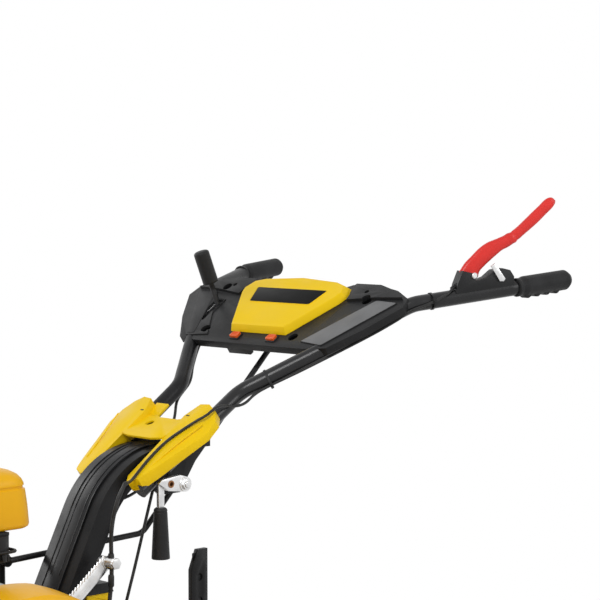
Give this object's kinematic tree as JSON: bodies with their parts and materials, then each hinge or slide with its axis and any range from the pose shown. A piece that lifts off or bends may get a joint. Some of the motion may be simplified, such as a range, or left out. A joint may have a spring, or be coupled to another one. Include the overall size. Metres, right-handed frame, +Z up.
{
  "type": "garden tiller",
  "caption": "Walk-behind garden tiller with a front engine, lugged drive wheels, hooded tine rotor, depth bar and a tilting handlebar with a control console.",
  "frame": {"origin": "on the floor at the centre of the outline seen from above", "axes": "+Z up, -Y the way it drives, +X the operator's left"},
  "size_m": [0.7714, 1.4804, 1.1454],
  "materials": {
    "steel": "satin",
    "tyre": "matt",
    "rim": "gloss",
    "tines": "satin",
    "cast": "satin",
    "black_paint": "gloss",
    "alloy": "satin",
    "engine_black": "satin",
    "yellow_paint": "gloss",
    "black_plastic": "matt",
    "exhaust": "satin",
    "yellow_plastic": "gloss",
    "zinc": "bright",
    "grip": "matt",
    "lamp": "gloss",
    "red_plastic": "satin",
    "cable": "satin"
  },
  "bodies": {
    "chassis": {"gear_case": "cast", "clutch_housing": "alloy", "engine_frame": "black_paint", "front_bumper": "black_paint", "engine_block": "alloy", "engine_cylinder": "alloy", "fan_shroud": "engine_black", "recoil_starter": "engine_black", "fuel_tank": "yellow_paint", "tank_cap": "black_plastic", "air_cleaner": "black_plastic", "muffler": "exhaust", "fender_left": "yellow_paint", "fender_right": "yellow_paint", "tine_hood": "yellow_paint", "rear_cover": "yellow_plastic", "rear_cover_lid": "black_plastic", "column": "black_paint", "quadrant": "zinc", "shift_post": "black_paint", "depth_bracket": "black_paint", "clutch_cable_lower": "cable", "throttle_cable": "cable", "reverse_cable": "cable"},
    "drive_wheels": {"drive_axle": "steel", "tyre_left": "tyre", "rim_left": "rim", "tyre_right": "tyre", "rim_right": "rim"},
    "rotor": {"rotor_shaft": "steel", "tines_left": "tines", "tines_right": "tines"},
    "depth_bar": {"depth_bar": "black_paint"},
    "handlebar": {"handle_tube_left": "black_paint", "handle_tube_right": "black_paint", "grip_left": "grip", "grip_right": "grip", "handle_head": "black_paint", "wing_cover": "yellow_plastic", "console_tray": "black_plastic", "console_cover": "yellow_plastic", "console_lamps": "lamp", "console_bracket": "black_paint", "gear_lever": "zinc", "gear_knob": "black_plastic", "clutch_lever": "red_plastic", "clutch_bracket": "black_plastic", "lock_tab": "zinc", "clamp_casting": "zinc", "clamp_lever": "zinc", "clamp_grip": "black_plastic", "clutch_cable": "cable"},
    "shift_linkage": {"shift_rod": "black_paint"}
  },
  "joints": [
    {"name": "wheel_spin", "type": "hinge", "parent": "chassis", "child": "drive_wheels", "pos_m": [0, -0.33675, 0.255], "axis": [1, 0, 0], "continuous": true},
    {"name": "rotor_spin", "type": "hinge", "parent": "chassis", "child": "rotor", "pos_m": [0, -0.00175, 0.163], "axis": [1, 0, 0], "continuous": true},
    {"name": "depth_slide", "type": "slide", "parent": "chassis", "child": "depth_bar", "axis": [0, 0, 1], "range_m": [0, 0.123]},
    {"name": "handle_tilt", "type": "hinge", "parent": "chassis", "child": "handlebar", "pos_m": [0, 0.08425, 0.676], "axis": [1, 0, 0], "range_deg": [-9, 9], "deforming": ["clutch_cable_lower", "throttle_cable", "reverse_cable"]},
    {"name": "shift_rod_swing", "type": "hinge", "parent": "chassis", "child": "shift_linkage", "pos_m": [-0.056, -0.16475, 0.561], "axis": [1, 0, 0], "range_deg": [-5.2, 5.2]}
  ],
  "couplings": [
    {"joint": "shift_rod_swing", "follows": "handle_tilt", "ratio": 0.577}
  ]
}
